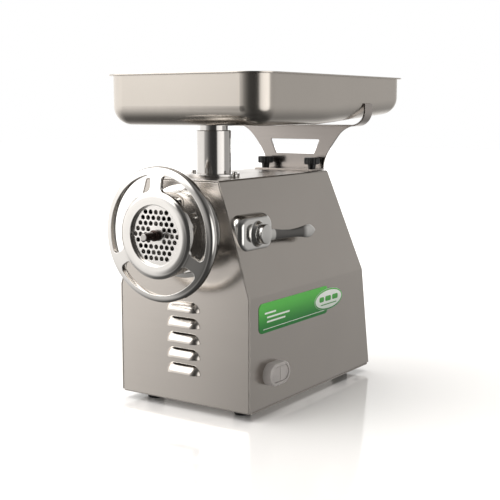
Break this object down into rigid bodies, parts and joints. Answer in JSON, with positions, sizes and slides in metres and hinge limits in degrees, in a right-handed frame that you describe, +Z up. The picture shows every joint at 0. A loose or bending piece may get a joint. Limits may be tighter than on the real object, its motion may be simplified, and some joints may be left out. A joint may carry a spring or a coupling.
{
  "type": "electric meat grinder",
  "caption": "Bench-top electric meat grinder with a stainless housing, front hole plate with handwheel ring nut, tray and drive train.",
  "frame": {"origin": "centre of the bounding box in plan, on the floor under the feet", "axes": "+Z up, the outlet faces -Y, +X is the latch side"},
  "size_m": [0.2982, 0.5321, 0.499],
  "materials": {
    "housing_steel": "satin brushed stainless sheet",
    "polished_steel": "polished stainless",
    "tray_steel": "satin drawn stainless",
    "cast_steel": "polished stainless casting",
    "chromed": "chrome plated casting",
    "tool_steel": "ground tool steel",
    "stud_bronze": "dark bronze, oiled",
    "black_plastic": "moulded black plastic",
    "grey_plastic": "grey moulded plastic",
    "rubber": "moulded rubber",
    "zinc_screw": "stainless screw",
    "label_green": "printed film, plain",
    "label_white": "domed film, plain",
    "cast_aluminium": "die cast aluminium",
    "gear_steel": "hobbed steel",
    "lamination": "varnished laminations and windings",
    "bearing_steel": "sealed ball bearing"
  },
  "bodies": {
    "housing": {"housing_shell": "housing_steel", "front_panel": "housing_steel", "rear_panel": "housing_steel", "base_plate": "housing_steel", "rubber_feet": "rubber", "foot_screws": "zinc_screw", "housing_screws": "zinc_screw", "front_flange": "polished_steel", "neck_ring": "polished_steel", "neck_ring_screws": "zinc_screw", "head_barrel": "cast_steel", "hole_plate": "tool_steel", "plate_key": "tool_steel", "latch_block": "chromed", "switch_bezel": "grey_plastic", "switch_body": "black_plastic", "label_plate": "label_green", "label_badge": "label_white", "gearbox_case": "cast_aluminium", "gearbox_cover": "cast_aluminium", "gearbox_screws": "zinc_screw", "output_bearings": "bearing_steel", "intermediate_bearings": "bearing_steel", "oil_seal": "rubber", "motor_case": "cast_aluminium", "motor_stator": "lamination", "motor_front_bell": "cast_aluminium", "motor_flange": "cast_aluminium", "motor_bearings": "bearing_steel", "fan_cover": "housing_steel", "control_box": "black_plastic", "capacitor": "grey_plastic", "cable_gland": "black_plastic", "gland_nut": "black_plastic"},
    "worm_drive": {"worm": "cast_steel", "worm_stud": "stud_bronze", "cutting_knife": "tool_steel", "thrust_washer": "black_plastic", "output_shaft": "gear_steel", "output_gear": "gear_steel"},
    "intermediate": {"intermediate_shaft": "gear_steel", "intermediate_gear": "gear_steel"},
    "motor_armature": {"motor_rotor": "gear_steel", "motor_shaft": "gear_steel", "motor_pinion": "gear_steel", "cooling_fan": "black_plastic"},
    "wheel_nut": {"ring_nut": "polished_steel", "handwheel": "polished_steel"},
    "feed_neck": {"feed_tube": "polished_steel"},
    "tray_unit": {"tray": "tray_steel", "tray_spout": "tray_steel", "tray_bracket": "polished_steel"},
    "left_thumb_screw": {"left_knob": "black_plastic", "left_knob_screw": "zinc_screw"},
    "right_thumb_screw": {"right_knob": "black_plastic", "right_knob_screw": "zinc_screw"},
    "latch": {"latch_lever": "chromed", "latch_shaft": "tool_steel"},
    "start_button": {"start_button": "grey_plastic"},
    "stop_button": {"stop_button": "grey_plastic"}
  },
  "joints": [
    {"name": "worm_spin", "type": "hinge", "parent": "housing", "child": "worm_drive", "pos_m": [0, -0.178, 0.2703], "axis": [0, 1, 0], "continuous": true},
    {"name": "intermediate_spin", "type": "hinge", "parent": "housing", "child": "intermediate", "pos_m": [0, 0.082, 0.18905], "axis": [0, 1, 0], "continuous": true},
    {"name": "motor_spin", "type": "hinge", "parent": "housing", "child": "motor_armature", "pos_m": [0, -0.048, 0.10905], "axis": [0, 1, 0], "continuous": true},
    {"name": "wheel_nut_turn", "type": "hinge", "parent": "housing", "child": "wheel_nut", "pos_m": [0, -0.228, 0.2703], "axis": [0, 1, 0], "range_deg": [0, 1050]},
    {"name": "feed_neck_lift", "type": "slide", "parent": "housing", "child": "feed_neck", "axis": [0, 0, 1], "range_m": [0, 0.09]},
    {"name": "tray_lift", "type": "slide", "parent": "feed_neck", "child": "tray_unit", "axis": [0, 0, 1], "range_m": [0, 0.1]},
    {"name": "left_knob_turn", "type": "hinge", "parent": "tray_unit", "child": "left_thumb_screw", "pos_m": [-0.046, 0.115, 0.3565], "axis": [0, 0, 1], "range_deg": [0, 1770]},
    {"name": "right_knob_turn", "type": "hinge", "parent": "tray_unit", "child": "right_thumb_screw", "pos_m": [0.046, 0.115, 0.3565], "axis": [0, 0, 1], "range_deg": [0, 1770]},
    {"name": "latch_turn", "type": "hinge", "parent": "housing", "child": "latch", "pos_m": [0.11, -0.13, 0.269], "axis": [1, 0, 0], "range_deg": [0, 90]},
    {"name": "start_press", "type": "slide", "parent": "housing", "child": "start_button", "axis": [-1, 0, 0], "range_m": [0, 0.003], "stiffness_N_per_m": 900, "springref_m": -0.002},
    {"name": "stop_press", "type": "slide", "parent": "housing", "child": "stop_button", "axis": [-1, 0, 0], "range_m": [0, 0.003], "stiffness_N_per_m": 900, "springref_m": -0.002}
  ],
  "couplings": [
    {"joint": "intermediate_spin", "follows": "worm_spin", "ratio": -2.8235},
    {"joint": "motor_spin", "follows": "worm_spin", "ratio": 8.4706}
  ]
}
